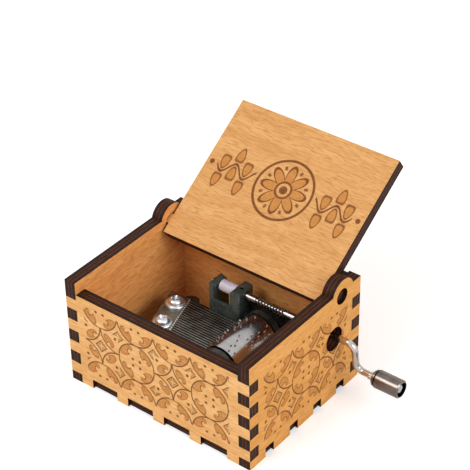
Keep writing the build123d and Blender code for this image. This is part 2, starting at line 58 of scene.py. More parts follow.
# %% [markdown]
# ## Camera
# The photograph was taken with a long lens, from the right and above. A camera could be
# aimed by a constraint, but then it can't roll or look past the middle as a real one does.
# So its place, its angles and its lens are given as they were fitted to the box's corners.
# A camera looks along its own -Z: it is first rolled, then tipped up from straight down,
# and then turned about the vertical.

# %% Camera
camera_place = Vector((243.158, -294.647, 322.052)) * mm
camera_turn = radians(38.561)
camera_tip = radians(54.554)
camera_roll = radians(-0.959)
focal_length = 131.15
sensor_width = 36.0

camera_data = bpy.data.cameras.new("camera")
camera_data.lens = focal_length
camera_data.sensor_width = sensor_width
camera = bpy.data.objects.new("camera", camera_data)
camera.location = camera_place
turn = Matrix.Rotation(camera_turn, 3, "Z") @ Matrix.Rotation(camera_tip, 3, "X")
camera.rotation_euler = (turn @ Matrix.Rotation(camera_roll, 3, "Z")).to_euler()
bpy.context.scene.collection.objects.link(camera)
bpy.context.scene.camera = camera
print("camera distance, mm:", round(camera_place.length / mm))

# %% [markdown]
# ## Helpers for materials
# Colours are written as the hex values that a screen shows. Blender works with linear
# light, so one function turns a hex value into linear numbers. Another adds a shader node:
# its settings are named, and its inputs are given in order, as numbers or as links. Nodes
# could be drawn by hand in the editor, but in code a material can be read and repeated. A
# noise's inputs, for one, are its place, its scale, its detail and its roughness.


# %% Colour and node helpers
def colour(hex_value):
    """A screen colour as linear light, with full alpha."""
    parts = [int(hex_value[i : i + 2], 16) / 255 for i in (1, 3, 5)]
    linear = [c / 12.92 if c <= 0.04045 else ((c + 0.055) / 1.055) ** 2.4 for c in parts]
    return (*linear, 1.0)


def add(tree, kind, *values, named=None, **settings):
    """Adds a node, sets it up, feeds its inputs and returns its first output."""
    node = tree.nodes.new("ShaderNode" + kind)
    for name, value in settings.items():
        setattr(node, name, value)
    inputs = [socket for socket in node.inputs if socket.enabled]
    sockets = list(zip(inputs, values))
    sockets += [(node.inputs[name], value) for name, value in (named or {}).items()]
    for socket, value in sockets:
        if isinstance(value, bpy.types.NodeSocket):
            tree.links.new(value, socket)
        else:
            socket.default_value = value
    return next((socket for socket in node.outputs if socket.enabled), None)


def new_material(name):
    """A material with an empty node tree, and the tree."""
    material = bpy.data.materials.new(name)
    material.use_nodes = True
    material.node_tree.nodes.clear()
    return material, material.node_tree


def dress(piece, material):
    """Gives a piece its material, in place of what it had."""
    piece.data.materials.clear()
    piece.data.materials.append(material)


# Nearly all of a noise's values lie in the first span, and most in the second.
noise_span = (0.3, 0.7)
cloud_span = (0.35, 0.65)
print("orange as linear light:", [round(c, 3) for c in colour("#E5B071")[:3]])

# %% [markdown]
# ## Sky
# A catalogue photograph is lit from all round, which leaves hardly a shadow. An even white
# sky does that. The page behind the box is white too: that white comes from the sky as the
# camera and the mirror-like metals see it, through Light Path, and not from stronger light,
# which would bleach the wood.

# %% Sky
world = bpy.data.worlds.new("studio")
world.use_nodes = True
sky = world.node_tree
sky.nodes.clear()
sky_light = 0.62
path = add(sky, "LightPath").node.outputs
seen = add(sky, "Math", path["Is Camera Ray"], path["Is Glossy Ray"], operation="MAXIMUM")
seen = add(sky, "Math", seen, path["Is Transmission Ray"], operation="MAXIMUM")
strength = add(sky, "MapRange", seen, 0.0, 1.0, sky_light, 1.0)
sky_white = add(sky, "Background", colour("#FFFFFF"), strength)
add(sky, "OutputWorld", sky_white)
bpy.context.scene.world = world
bpy.context.scene.view_settings.view_transform = "Standard"
print("sky light:", sky_light)

# %% [markdown]
# ## Lamps
# The front of the real box is a little brighter than its side, and the metals carry soft
# round highlights. One lamp at the front left and one at the right give the highlights, and
# help the front's paler tones, which are painted light, to make the front brighter. A lamp
# half a metre wide is large beside a box of 65 mm, so its shadows are as soft as a light tent's.

# %% Lamps
box_middle = Vector((0, 0, 0.02))
lamp_width = 0.5
key_place = Vector((-0.25, -0.55, 0.75))
key_watts = 3.9
fill_place = Vector((0.75, -0.05, 0.45))
fill_watts = 3.1


def soft_lamp(name, place, watts):
    """A round lamp that faces the middle of the box."""
    lamp_data = bpy.data.lights.new(name, "AREA")
    lamp_data.shape = "DISK"
    lamp_data.size = lamp_width
    lamp_data.energy = watts
    lamp = bpy.data.objects.new(name, lamp_data)
    lamp.location = place
    lamp.rotation_euler = (box_middle - place).to_track_quat("-Z", "Y").to_euler()
    bpy.context.scene.collection.objects.link(lamp)


soft_lamp("key_lamp", key_place, key_watts)
soft_lamp("fill_lamp", fill_place, fill_watts)
print("lamps, W:", key_watts, "and", fill_watts)

# %% [markdown]
# ## Floor
# The box stands on white paper that runs out of sight. A curved sheet behind it would do as
# well, but a flat one is enough where the sky is as white. A faint glow that only the
# camera sees lifts the paper to the page's white, and leaves the box's shadow on it.

# %% Floor
floor_size = 6.0
paper_glow = 0.32

bpy.ops.object.select_all(action="DESELECT")
bpy.ops.mesh.primitive_plane_add(size=floor_size)
floor = bpy.context.object
floor.name = "floor"
material, tree = new_material("matt white paper")
paper = add(tree, "BsdfDiffuse", colour("#F4F4F4"))
path = add(tree, "LightPath").node.outputs
lift = add(tree, "Math", path["Is Camera Ray"], paper_glow, operation="MULTIPLY")
glow = add(tree, "Emission", colour("#FFFFFF"), lift)
add(tree, "OutputMaterial", add(tree, "AddShader", paper, glow))
dress(floor, material)
print("floor, m:", floor_size)

# %% [markdown]
# ## Where a board lies
# Every board is cut from the same plywood. Six materials could be drawn, but one function
# can describe them all in the board's own frame: x along the board, y up it, and z out of
# its marked face, in millimetres. A Mapping node turns object coordinates into that frame.
# The grain runs along x, as on the real boards.

# %% Boards
hinge = next(joint for joint in frame["joints"] if joint["name"] == "lid_hinge")
hinge_place = Vector(hinge["pos_m"])
lid_lean = radians(34.3)
lid_up = Vector((0, cos(lid_lean), sin(lid_lean)))
lid_out = Vector((0, -sin(lid_lean), cos(lid_lean)))
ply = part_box("left_wall")[1].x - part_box("left_wall")[0].x
x_axis = Vector((1, 0, 0))
y_axis = Vector((0, 1, 0))
z_axis = Vector((0, 0, 1))
case_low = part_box("left_wall")[0]
case_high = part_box("right_wall")[1]
floor_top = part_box("bottom_panel")[1].z
boards = {
    "front_wall": (x_axis, z_axis, -y_axis, Vector((0, case_low.y, 0))),
    "right_wall": (y_axis, z_axis, x_axis, Vector((case_high.x, 0, 0))),
    "back_wall": (-x_axis, z_axis, y_axis, Vector((0, case_high.y, 0))),
    "left_wall": (-y_axis, z_axis, -x_axis, Vector((case_low.x, 0, 0))),
    "lid": (x_axis, lid_up, lid_out, hinge_place + lid_out * ply / 2),
    "bottom_panel": (x_axis, y_axis, z_axis, Vector((0, 0, floor_top))),
}


def board_place(tree, across, up, out, origin):
    """The place in millimetres and the surface's direction, in the board's own frame."""
    turn = Matrix((across, up, out))
    offset = -(turn @ origin) / mm
    here = add(tree, "TexCoord").node.outputs
    scale = (1 / mm, 1 / mm, 1 / mm)
    place = add(tree, "Mapping", here["Object"], offset, turn.to_euler(), scale)
    facing = add(tree, "Mapping", here["Normal"], named={"Rotation": turn.to_euler()})
    return place, facing


print("boards:", len(boards), "thickness, mm:", round(ply / mm, 2))

# %% [markdown]
# ## Masks
# An engraving is either there or not, so it is drawn as a mask, 1 where the laser burns and
# 0 elsewhere. A painted picture would blur when seen near. Distances from a middle or a
# line, cut off at a limit, stay crisp at any size. Each edge fades over a quarter of a
# millimetre, as a scorched one does.

# %% Masks
soft_edge = 0.12


def inside(tree, distance, limit):
    """1 where the distance is under the limit, with a soft edge, and 0 outside."""
    return add(tree, "MapRange", distance, limit - soft_edge, limit + soft_edge, 1.0, 0.0)


def on_line(tree, distance, radius, width):
    """1 on a line of that width at that radius."""
    off = add(tree, "Math", distance, radius, operation="SUBTRACT")
    return inside(tree, add(tree, "Math", off, operation="ABSOLUTE"), width / 2)


def either(tree, *masks):
    """1 where any of the masks is 1."""
    total = masks[0]
    for mask in masks[1:]:
        total = add(tree, "Math", total, mask, operation="MAXIMUM")
    return total


def both(tree, *masks):
    """1 where all the masks are 1."""
    total = masks[0]
    for mask in masks[1:]:
        total = add(tree, "Math", total, mask, operation="MULTIPLY")
    return total


def without(tree, mask, hole):
    """The mask, less a hole."""
    return both(tree, mask, add(tree, "Math", 1.0, hole, operation="SUBTRACT"))


def spot(tree, place, x, y, radius):
    """A round dot."""
    distance = add(tree, "VectorMath", place, (x, y, 0), operation="DISTANCE")
    return inside(tree, distance, radius)


print("soft edge of a mark, mm:", 2 * soft_edge)

# %% [markdown]
# ## A curled leaf
# Each ring of the scrolls holds leaves like a comma: a fat body that curls over into a
# round tip. Such a leaf could be traced as a curve, but three round shapes give it: an
# oval, a round bite out of its side, and a dot in the bite. The body is scanned lightly,
# and its outline is burnt dark.

# %% Curled leaf
# Places and radii are shares of the leaf's half length and half width.
bite_along = 0.45
bite_across = -0.62
bite_size = 0.66
tip_along = 0.62
tip_across = -0.28
tip_size = 0.3
rim_at = 0.95
rim_share = 0.08
curl_width = 0.3


def curled_leaf(tree, place, x, y, lean, length, width):
    """A leaf about (x, y), from its half length and width: its body and its outline."""
    moved = add(tree, "VectorMath", place, (x, y, 0), operation="SUBTRACT")
    leaned = add(tree, "Mapping", moved, (0, 0, 0), (0, 0, lean))
    shares = (1 / length, 1 / width, 0)
    shaped = add(tree, "VectorMath", leaned, shares, operation="MULTIPLY")
    size = add(tree, "VectorMath", shaped, operation="LENGTH")
    oval = inside(tree, size, 1.0)
    bite_place = (bite_along * length, bite_across * width, 0)
    bite_radius = bite_size * width
    bite_distance = add(tree, "VectorMath", leaned, bite_place, operation="DISTANCE")
    bite = inside(tree, bite_distance, bite_radius)
    tip = spot(tree, leaned, tip_along * length, tip_across * width, tip_size * width)
    rim = without(tree, on_line(tree, size, rim_at, rim_share), bite)
    curl = both(tree, on_line(tree, bite_distance, bite_radius, curl_width), oval)
    body = either(tree, without(tree, oval, bite), tip)
    return body, without(tree, either(tree, rim, curl), tip)


print("curl of a leaf, line width, mm:", curl_width)

# %% [markdown]
# ## A diamond with a cross
# Between the rings stand small diamonds, with a figure like an hourglass in each. On a
# diamond the two distances from its middle add up to the same number, and along the
# figure's curved sides their product is the same, so one sum and one product draw both.


# %% Diamond
def crossed_diamond(tree, gaps, reach, line, waist, waist_line, waist_reach):
    """A diamond and the figure in it, from the distances to the middle along x and y."""
    parts = add(tree, "SeparateXYZ", gaps).node.outputs
    total = add(tree, "VectorMath", gaps, (1, 1, 0), operation="DOT_PRODUCT")
    product = add(tree, "Math", parts["X"], parts["Y"], operation="MULTIPLY")
    sides = on_line(tree, product, waist, waist_line)
    figure = both(tree, sides, inside(tree, total, waist_reach))
    return either(tree, on_line(tree, total, reach, line), figure)


corner_diamond = {"reach": 1.85, "line": 0.45, "waist": 0.3, "waist_line": 0.2, "waist_reach": 1.6}
star_diamond = {"reach": 1.95, "line": 0.5, "waist": 0.3, "waist_line": 0.22, "waist_reach": 1.7}
print("diamonds, half width, mm:", corner_diamond["reach"], "and", star_diamond["reach"])

# %% [markdown]
# ## The engraved scrolls
# The walls carry a common scroll ornament, burnt in by a laser: a grid of rings with four
# curled leaves and four dots in each, and now and then a star between four rings. It could
# be drawn whole, but a laser's drawing repeats exactly. So one cell of each kind is drawn,
# about its middle, and the grid repeats it. Only a quarter of a cell is drawn: distances
# without their sign fold the other three quarters onto it.

# %% The two cells
cell_width = 13.0
cell_height = 12.8
ring_radius = 6.4
line_width = 0.46
ring_gap = 0.3
ring_leaf = {"x": 3.35, "y": 3.6, "lean": radians(52), "length": 2.6, "width": 1.55}
ring_dot = {"x": 1.3, "y": 1.15, "radius": 0.48}
arc_gap = 0.45
star_leaf = {"x": 3.0, "y": 3.4, "lean": radians(50), "length": 2.3, "width": 1.35}
star_dot = {"x": 5.4, "y": 5.1, "radius": 0.5}


def ring_cell(tree, quarter, turned, from_corner):
    """The ring, four leaves, four dots, and part of a diamond round each corner."""
    distance = add(tree, "VectorMath", quarter, operation="LENGTH")
    ring = on_line(tree, distance, ring_radius, line_width)
    within = inside(tree, distance, ring_radius - ring_gap)
    leaves, outlines = curled_leaf(tree, turned, **ring_leaf)
    dots = spot(tree, quarter, **ring_dot)
    gaps = add(tree, "VectorMath", from_corner, operation="ABSOLUTE")
    diamond = crossed_diamond(tree, gaps, **corner_diamond)
    lines = either(tree, ring, dots, diamond, both(tree, outlines, within))
    return lines, both(tree, leaves, within)


def star_cell(tree, quarter, turned, from_corner):
    """Four arcs about the corners, a leaf and a dot behind each, and a diamond."""
    distance = add(tree, "VectorMath", from_corner, operation="LENGTH")
    arcs = on_line(tree, distance, ring_radius, line_width)
    behind = inside(tree, distance, ring_radius - arc_gap)
    leaves, outlines = curled_leaf(tree, turned, **star_leaf)
    dots = spot(tree, quarter, **star_dot)
    diamond = crossed_diamond(tree, quarter, **star_diamond)
    lines = either(tree, arcs, dots, diamond, both(tree, outlines, behind))
    return lines, both(tree, leaves, behind)


print("cell of the grid, mm:", cell_width, "by", cell_height)

# %% [markdown]
# ## The grid
# Rounding a place to the nearest cell gives the cell's column and row, and what is left is
# the place in that cell. A leaf turns with its quarter of the ring, so two opposite
# quarters swap their axes. The stars stand in every second column of the middle row. The
# pattern ends in a straight line at the panel's edge, as the real one does.

# %% Scroll grid
star_middle_x = -20.1
middle_row = 17.8


def grid_place(tree, place):
    """The place in its own cell, and the cell's column and row."""
    parts = add(tree, "SeparateXYZ", place).node.outputs
    u = add(tree, "Math", parts["X"], star_middle_x, operation="SUBTRACT")
    v = add(tree, "Math", parts["Y"], middle_row, operation="SUBTRACT")
    columns = add(tree, "Math", u, cell_width, operation="DIVIDE")
    rows = add(tree, "Math", v, cell_height, operation="DIVIDE")
    column = add(tree, "Math", columns, operation="ROUND")
    row = add(tree, "Math", rows, operation="ROUND")
    p = add(tree, "Math", column, -cell_width, u, operation="MULTIPLY_ADD")
    q = add(tree, "Math", row, -cell_height, v, operation="MULTIPLY_ADD")
    return p, q, column, row


def is_star(tree, column, row):
    """1 in every second column of the middle row, and 0 elsewhere."""
    column_size = add(tree, "Math", column, operation="ABSOLUTE")
    odd = add(tree, "Math", column_size, 2.0, operation="MODULO")
    even_column = add(tree, "Math", odd, 0.5, operation="LESS_THAN")
    row_size = add(tree, "Math", row, operation="ABSOLUTE")
    own_row = add(tree, "Math", row_size, 0.5, operation="LESS_THAN")
    return both(tree, even_column, own_row)


def in_panel(tree, place, left, right, low, high):
    """1 between the panel's four edges."""
    middle = ((left + right) / 2, (low + high) / 2, 0)
    off = add(tree, "VectorMath", place, middle, operation="SUBTRACT")
    over = add(tree, "VectorMath", off, operation="ABSOLUTE")
    parts = add(tree, "SeparateXYZ", over).node.outputs
    beside = inside(tree, parts["X"], (right - left) / 2)
    return both(tree, beside, inside(tree, parts["Y"], (high - low) / 2))


def scrolls(tree, place, left, right, low, high):
    """Two masks on a board: the dark lines and the lighter leaves."""
    p, q, column, row = grid_place(tree, place)
    size_p = add(tree, "Math", p, operation="ABSOLUTE")
    size_q = add(tree, "Math", q, operation="ABSOLUTE")
    quarter = add(tree, "CombineXYZ", size_p, size_q, 0.0)
    swap = add(tree, "CombineXYZ", size_q, size_p, 0.0)
    product = add(tree, "Math", p, q, operation="MULTIPLY")
    swapped = add(tree, "Math", product, 0.0, operation="LESS_THAN")
    turned = add(tree, "Mix", swapped, quarter, swap, data_type="VECTOR")
    corner = (cell_width / 2, cell_height / 2, 0)
    from_corner = add(tree, "VectorMath", quarter, corner, operation="SUBTRACT")
    ring_lines, ring_fill = ring_cell(tree, quarter, turned, from_corner)
    star_lines, star_fill = star_cell(tree, quarter, turned, from_corner)
    star = is_star(tree, column, row)
    lines = add(tree, "Mix", star, ring_lines, star_lines, data_type="FLOAT")
    fill = add(tree, "Mix", star, ring_fill, star_fill, data_type="FLOAT")
    panel = in_panel(tree, place, left, right, low, high)
    return both(tree, lines, panel), both(tree, fill, panel)


print("ring radius, mm:", ring_radius)

# %% [markdown]
# ## The lid's rosette
# The middle of the lid's inner face has a rosette, burnt like the scrolls. Its petals could
# be copied round a circle, but in polar form the cosine of the angle already rises and
# falls with each petal. It sets how far the petal's edge lies from the middle, and beads
# stand where it is lowest.

# %% Rosette
petal_count = 8
petal_reach = 7.6
petal_foot = 0.42 * petal_reach
petal_line = 1.0
eye_radius = 1.3
hub_radius = 2.5
hub_line = 0.7
fill_start = 2.8
rim_radius = 9.4
rim_line = 0.8
bead_radius = 7.0
bead_half = 0.6
bead_span = -0.88


def rosette(tree, flat):
    """Petals about a hub, beads between them and a rim: the strokes and the fill."""
    parts = add(tree, "SeparateXYZ", flat).node.outputs
    radius = add(tree, "VectorMath", flat, operation="LENGTH")
    angle = add(tree, "Math", parts["Y"], parts["X"], operation="ARCTAN2")
    petal_turn = add(tree, "Math", angle, petal_count / 2, operation="MULTIPLY")
    swing = add(tree, "Math", petal_turn, operation="COSINE")
    swing = add(tree, "Math", swing, operation="ABSOLUTE")
    petal_edge = add(tree, "MapRange", swing, 0.0, 1.0, petal_foot, petal_reach)
    to_petal = add(tree, "Math", radius, petal_edge, operation="SUBTRACT")
    petals = on_line(tree, to_petal, 0.0, petal_line)
    fill = inside(tree, to_petal, -petal_line / 2)
    fill = without(tree, fill, inside(tree, radius, fill_start))
    eye = inside(tree, radius, eye_radius)
    hub = on_line(tree, radius, hub_radius, hub_line)
    rim = on_line(tree, radius, rim_radius, rim_line)
    bead_turn = add(tree, "Math", angle, petal_count, operation="MULTIPLY")
    bead_swing = add(tree, "Math", bead_turn, operation="COSINE")
    from_beads = add(tree, "Math", radius, bead_radius, operation="SUBTRACT")
    bead_gap = add(tree, "Math", from_beads, operation="ABSOLUTE")
    beads = both(tree, inside(tree, bead_gap, bead_half), inside(tree, bead_swing, bead_span))
    return either(tree, petals, eye, hub, rim, beads), fill


print("rosette's width, mm:", 2 * rim_radius)

# %% [markdown]
# ## The lid's vines
# On each side of the rosette runs a leafy vine. A vine that swings evenly is a sine wave,
# and a leaf stands on each side of every swing, so folding the length with Ping-Pong draws
# one leaf and repeats it. Without its sign, x gives the left vine from the right one.

# %% Vines
vine_start = 10.6
leaf_start = 12.0
vine_end = 24.0
vine_swing = 3.6
vine_wave = 8.0
vine_line = 0.85
leaf_height = 3.1
leaf_half = (1.35, 2.1)
leaf_line = 0.28
last_dot = {"x": 26.0, "y": 0.0, "radius": 0.8}


def between(tree, value, start, end):
    """1 where the value lies between the start and the end."""
    off = add(tree, "Math", value, (start + end) / 2, operation="SUBTRACT")
    return inside(tree, add(tree, "Math", off, operation="ABSOLUTE"), (end - start) / 2)


def vines(tree, flat):
    """A vine with leaves and a last dot on each side: the strokes and the fill."""
    parts = add(tree, "SeparateXYZ", flat).node.outputs
    side_x = add(tree, "Math", parts["X"], operation="ABSOLUTE")
    along = add(tree, "Math", side_x, 2 * pi / vine_wave, operation="MULTIPLY")
    wave = add(tree, "Math", along, operation="SINE")
    wave = add(tree, "Math", wave, vine_swing / 2, operation="MULTIPLY")
    off_vine = add(tree, "Math", parts["Y"], wave, operation="SUBTRACT")
    stem = on_line(tree, off_vine, 0.0, vine_line)
    stem = both(tree, stem, between(tree, side_x, vine_start, vine_end))
    step = add(tree, "Math", side_x, vine_wave / 2, operation="PINGPONG")
    leaf_x = add(tree, "Math", step, vine_wave / 4, operation="SUBTRACT")
    leaf_y = add(tree, "Math", off_vine, operation="ABSOLUTE")
    leaf_y = add(tree, "Math", leaf_y, leaf_height, operation="SUBTRACT")
    leaf_place = add(tree, "CombineXYZ", leaf_x, leaf_y, 0.0)
    shares = (1 / leaf_half[0], 1 / leaf_half[1], 0)
    leaf_oval = add(tree, "VectorMath", leaf_place, shares, operation="MULTIPLY")
    leaf_size = add(tree, "VectorMath", leaf_oval, operation="LENGTH")
    span = between(tree, side_x, leaf_start, vine_end)
    leaves = both(tree, inside(tree, leaf_size, 1.0), span)
    outlines = both(tree, on_line(tree, leaf_size, 1.0, leaf_line), span)
    side_place = add(tree, "CombineXYZ", side_x, parts["Y"], 0.0)
    return either(tree, stem, outlines, spot(tree, side_place, **last_dot)), leaves


print("ornament's width, mm:", 2 * vine_end)

# %% [markdown]
# ## The lid's ornament
# Rosette and vines lie on one line, about halfway up the lid. The height out of the board
# is dropped, so that distances are measured flat on its face.

# %% Lid ornament
ornament_y = 21.0


def lid_ornament(tree, place):
    """Two masks on the lid: the dark strokes and the lighter fill."""
    moved = add(tree, "VectorMath", place, (0, ornament_y, 0), operation="SUBTRACT")
    flat = add(tree, "VectorMath", moved, (1, 1, 0), operation="MULTIPLY")
    rosette_lines, rosette_fill = rosette(tree, flat)
    vine_lines, vine_fill = vines(tree, flat)
    lines = either(tree, rosette_lines, vine_lines)
    return lines, either(tree, rosette_fill, vine_fill)


print("ornament's height on the lid, mm:", ornament_y)

# %% [markdown]
# ## Birch grain
# Birch veneer is pale, warm and close in grain: soft bands a few millimetres wide run along
# the board, with fine fibres and pores. A photograph of wood would repeat and blur. Three
# noises, each stretched along the board, give the same kinds of mark, and a slow drift keeps
# the bands from running dead straight. Real pores are a tenth of a millimetre across, too
# fine to show, so fibres and pores are drawn a third of a millimetre across.

# %% Birch grain
# How many there are in a millimetre, along, across and through the board.
band_grain = (0.03, 0.30, 0.1)
fibre_grain = (0.28, 3.0, 0.5)
pore_grain = (0.35, 2.6, 1.0)
drift_grain = 0.035

# The noise's values between which a mask rises from none to its full strength.
band_span = (0.34, 0.66)
fibre_span = (0.42, 0.72)
fibre_strength = 0.75
pore_span = (0.60, 0.72)
pore_strength = 0.8

drift = 3.0
board_step = 17.0


def birch_grain(tree, place, board_depth, knots):
    """Masks of the bands, fibres and pores, and the fibres' own noise."""
    own = add(tree, "VectorMath", place, (0, 0, board_depth), operation="ADD")
    waves = add(tree, "TexNoise", own, drift_grain, 2.0, 0.5)
    bend = add(tree, "Math", waves, drift + knots, operation="MULTIPLY")
    shift = add(tree, "CombineXYZ", 0.0, bend, 0.0)
    bent = add(tree, "VectorMath", own, shift, operation="ADD")
    band_place = add(tree, "VectorMath", bent, band_grain, operation="MULTIPLY")
    fibre_place = add(tree, "VectorMath", bent, fibre_grain, operation="MULTIPLY")
    pore_place = add(tree, "VectorMath", bent, pore_grain, operation="MULTIPLY")
    bands = add(tree, "TexNoise", band_place, 1.0, 3.0, 0.55)
    fibres = add(tree, "TexNoise", fibre_place, 1.0, 4.0, 0.6)
    pores = add(tree, "TexNoise", pore_place, 1.0, 1.0, 0.5)
    band = add(tree, "MapRange", bands, *band_span, 0.0, 1.0)
    fibre = add(tree, "MapRange", fibres, *fibre_span, 0.0, fibre_strength)
    pore = add(tree, "MapRange", pores, *pore_span, 0.0, pore_strength)
    return band, fibre, pore, fibres


print("bands, mm long and wide:", [round(1 / grain, 1) for grain in band_grain[:2]])

# %% [markdown]
# ## Laser marks
# A laser burns lines deep and dark, and scans wide areas lightly, so that they come out
# brown. Both are mixed into the wood, with a cloudy strength, because the beam bites less
# where the veneer is hard. The depth is a bump: it is a tenth of a millimetre, too shallow
# to show as geometry.

# %% Laser marks
scorch_grain = 0.9
burnt_birch = colour("#6E3812")
scanned_birch = colour("#BC7A36")
line_strengths = (0.85, 1.0)
fill_strengths = (0.6, 1.0)
scan_depth = 0.5
burn_depth = 3.0


def burn(tree, place, wood, lines, fill):
    """The wood with its marks burnt in, and how deep they are."""
    scorch = add(tree, "TexNoise", place, scorch_grain, 2.0, 0.6)
    line_strength = add(tree, "MapRange", scorch, *noise_span, *line_strengths)
    fill_strength = add(tree, "MapRange", scorch, *noise_span, *fill_strengths)
    line_shade = both(tree, lines, line_strength)
    fill_shade = both(tree, fill, fill_strength)
    wood = add(tree, "Mix", fill_shade, wood, scanned_birch, data_type="RGBA")
    wood = add(tree, "Mix", line_shade, wood, burnt_birch, data_type="RGBA")
    shallow = add(tree, "Math", fill, scan_depth, operation="MULTIPLY")
    depth = add(tree, "Math", either(tree, lines, shallow), burn_depth, operation="MULTIPLY")
    return wood, depth


print("scorch patches, mm:", round(1 / scorch_grain, 1))

# %% [markdown]
# ## Charred edges
# The same laser cuts the board out, and leaves its edges almost black. Two glue lines show
# there as paler stripes, one on each side of the middle ply. The distance from the middle
# of the thickness draws both at once, and a noise breaks them up.

# %% Charred edges
edge_grain = (0.5, 0.5, 3.0)
stripe_offset = 0.55
stripe_width = 0.45
stripe_strengths = (0.25, 1.0)
streak_span = (0.35, 0.7)
darkest_char = colour("#180A03")
brown_char = colour("#341606")
glue_line = colour("#5C3018")


def charred_edge(tree, place):
    """The colour of a cut edge."""
    parts = add(tree, "SeparateXYZ", place).node.outputs
    streak_place = add(tree, "VectorMath", place, edge_grain, operation="MULTIPLY")
    streak = add(tree, "TexNoise", streak_place, 1.0, 3.0, 0.6)
    through = add(tree, "Math", parts["Z"], -ply / mm / 2, operation="SUBTRACT")
    from_middle = add(tree, "Math", through, operation="ABSOLUTE")
    stripe = on_line(tree, from_middle, stripe_offset, stripe_width)
    broken = add(tree, "MapRange", streak, *streak_span, *stripe_strengths)
    brown = add(tree, "MapRange", streak, *streak_span, 0.0, 1.0)
    char = add(tree, "Mix", brown, darkest_char, brown_char, data_type="RGBA")
    return add(tree, "Mix", both(tree, stripe, broken), char, glue_line, data_type="RGBA")


print("stripes on an edge, mm apart:", 2 * stripe_offset)

# %% [markdown]
# ## Plywood
# A board shows three surfaces: the outer veneer, which is sanded, marked and thinly
# varnished, the inner veneer, whose brighter and more orange tones are painted warm light
# bounced about inside the box, and the charred edges. They could be three materials on
# three sets of faces. Here the direction that a surface faces tells them apart, so one
# material fits the whole board.

# %% Plywood
facing_limit = 0.5
varnish_gloss = (0.5, 0.64)
varnish_level = 0.15
grain_strength = 0.3
grain_depth = 0.04 * mm


def plywood(name, board, veneer, marks, knots=0.0, bounce_lit_tones=None):
    """Birch plywood for a board, with its marks. Bounce lit tones paint warm bounced light on the
    hidden face.
    """
    material, tree = new_material("birch plywood, " + name)
    place, facing = board_place(tree, *board)
    outwards = add(tree, "SeparateXYZ", facing).node.outputs["Z"]
    hidden = add(tree, "Math", outwards, -facing_limit, operation="LESS_THAN")
    marked = add(tree, "Math", outwards, facing_limit, operation="GREATER_THAN")
    facing_size = add(tree, "Math", outwards, operation="ABSOLUTE")
    edge = add(tree, "Math", facing_size, facing_limit, operation="LESS_THAN")

    band, fibre, pore, fibres = birch_grain(tree, place, board_step * len(name), knots)
    # On the hidden faces the bounce lit tones are painted warm light bounced about inside the box.
    pale, warm, dark = (
        add(tree, "Mix", hidden, colour(outer_tone), colour(bounce_lit_tone), data_type="RGBA")
        for outer_tone, bounce_lit_tone in zip(veneer, bounce_lit_tones or veneer)
    )
    wood = add(tree, "Mix", band, pale, warm, data_type="RGBA")
    wood = add(tree, "Mix", fibre, wood, dark, data_type="RGBA")
    wood = add(tree, "Mix", pore, wood, dark, data_type="RGBA")

    height = fibre
    if marks:
        lines, fill = (both(tree, mask, marked) for mask in marks(tree, place))
        wood, depth = burn(tree, place, wood, lines, fill)
        height = add(tree, "Math", fibre, depth, operation="SUBTRACT")
    surface = add(tree, "Mix", edge, wood, charred_edge(tree, place), data_type="RGBA")
    finish = {
        "Base Color": surface,
        "Roughness": add(tree, "MapRange", fibres, *noise_span, *varnish_gloss),
        "Normal": add(tree, "Bump", grain_strength, grain_depth, named={"Height": height}),
        "Specular IOR Level": varnish_level,
    }
    add(tree, "OutputMaterial", add(tree, "BsdfPrincipled", named=finish))
    return material


print("varnish, roughness:", varnish_gloss)

# %% [markdown]
# ## The six boards
# The front's tones are paler than the sides': painted light, for the front lies brighter
# than the sides. The lid is cut from a sheet with livelier grain. Each veneer has three
# tones: pale, warm and dark. One panel of scrolls could be centred on every wall, but on
# the real short walls a ring stands in the middle with a star on each side of it, so the
# scrolls are moved there.

# %% Dress the boards
# The front's paler tones and the sides' deeper ones are painted light on one birch: the front lit
# brighter, the sides less.
lit_front_veneer = ("#F2BE7F", "#E6AD69", "#C4874A")
shaded_side_veneer = ("#E4A65E", "#D8984C", "#B27535")
# Brighter, more orange tones for the walls' inner faces: painted warm bounce light.
bounce_lit_inner_veneer = ("#FAB56E", "#EEA25A", "#BE7436")
lid_veneer = ("#E0AA6C", "#D59B5D", "#B17841")
lid_knots = 3.0
long_panel = (-26.0, 25.7, 5.9, 29.8)
short_panel = (-19.2, 19.3, 5.9, 29.8)


def long_scrolls(tree, place):
    """The scrolls of the front and back walls."""
    return scrolls(tree, place, *long_panel)


def short_scrolls(tree, place):
    """The scrolls of the side walls."""
    shift = star_middle_x + cell_width
    moved = add(tree, "VectorMath", place, (shift, 0, 0), operation="ADD")
    left, right, low, high = short_panel
    return scrolls(tree, moved, left + shift, right + shift, low, high)


walls = (
    ("front_wall", "front", lit_front_veneer, long_scrolls),
    ("back_wall", "back", lit_front_veneer, long_scrolls),
    ("left_wall", "left side", shaded_side_veneer, short_scrolls),
    ("right_wall", "right side", shaded_side_veneer, short_scrolls),
)
for node, name, veneer, marks in walls:
    dress(nodes[node], plywood(name, boards[node], veneer, marks, bounce_lit_tones=bounce_lit_inner_veneer))
dress(nodes["lid"], plywood("lid", boards["lid"], lid_veneer, lid_ornament, knots=lid_knots))
dress(nodes["bottom_panel"], plywood("floor", boards["bottom_panel"], shaded_side_veneer, None))
print("plywood boards dressed:", len(boards))

# %% [markdown]
# ## Modelling by hand, in code
# Three small pieces have forms that the frame keeps plain: the screws on the comb, the
# bracket behind it, and the cap in the knob. They are made as in Blender's window: a
# primitive, edit-mode operators, and modifiers that are applied. Operators act on all that
# is selected, so everything is deselected first, and faces and edges are picked by their
# place and direction.


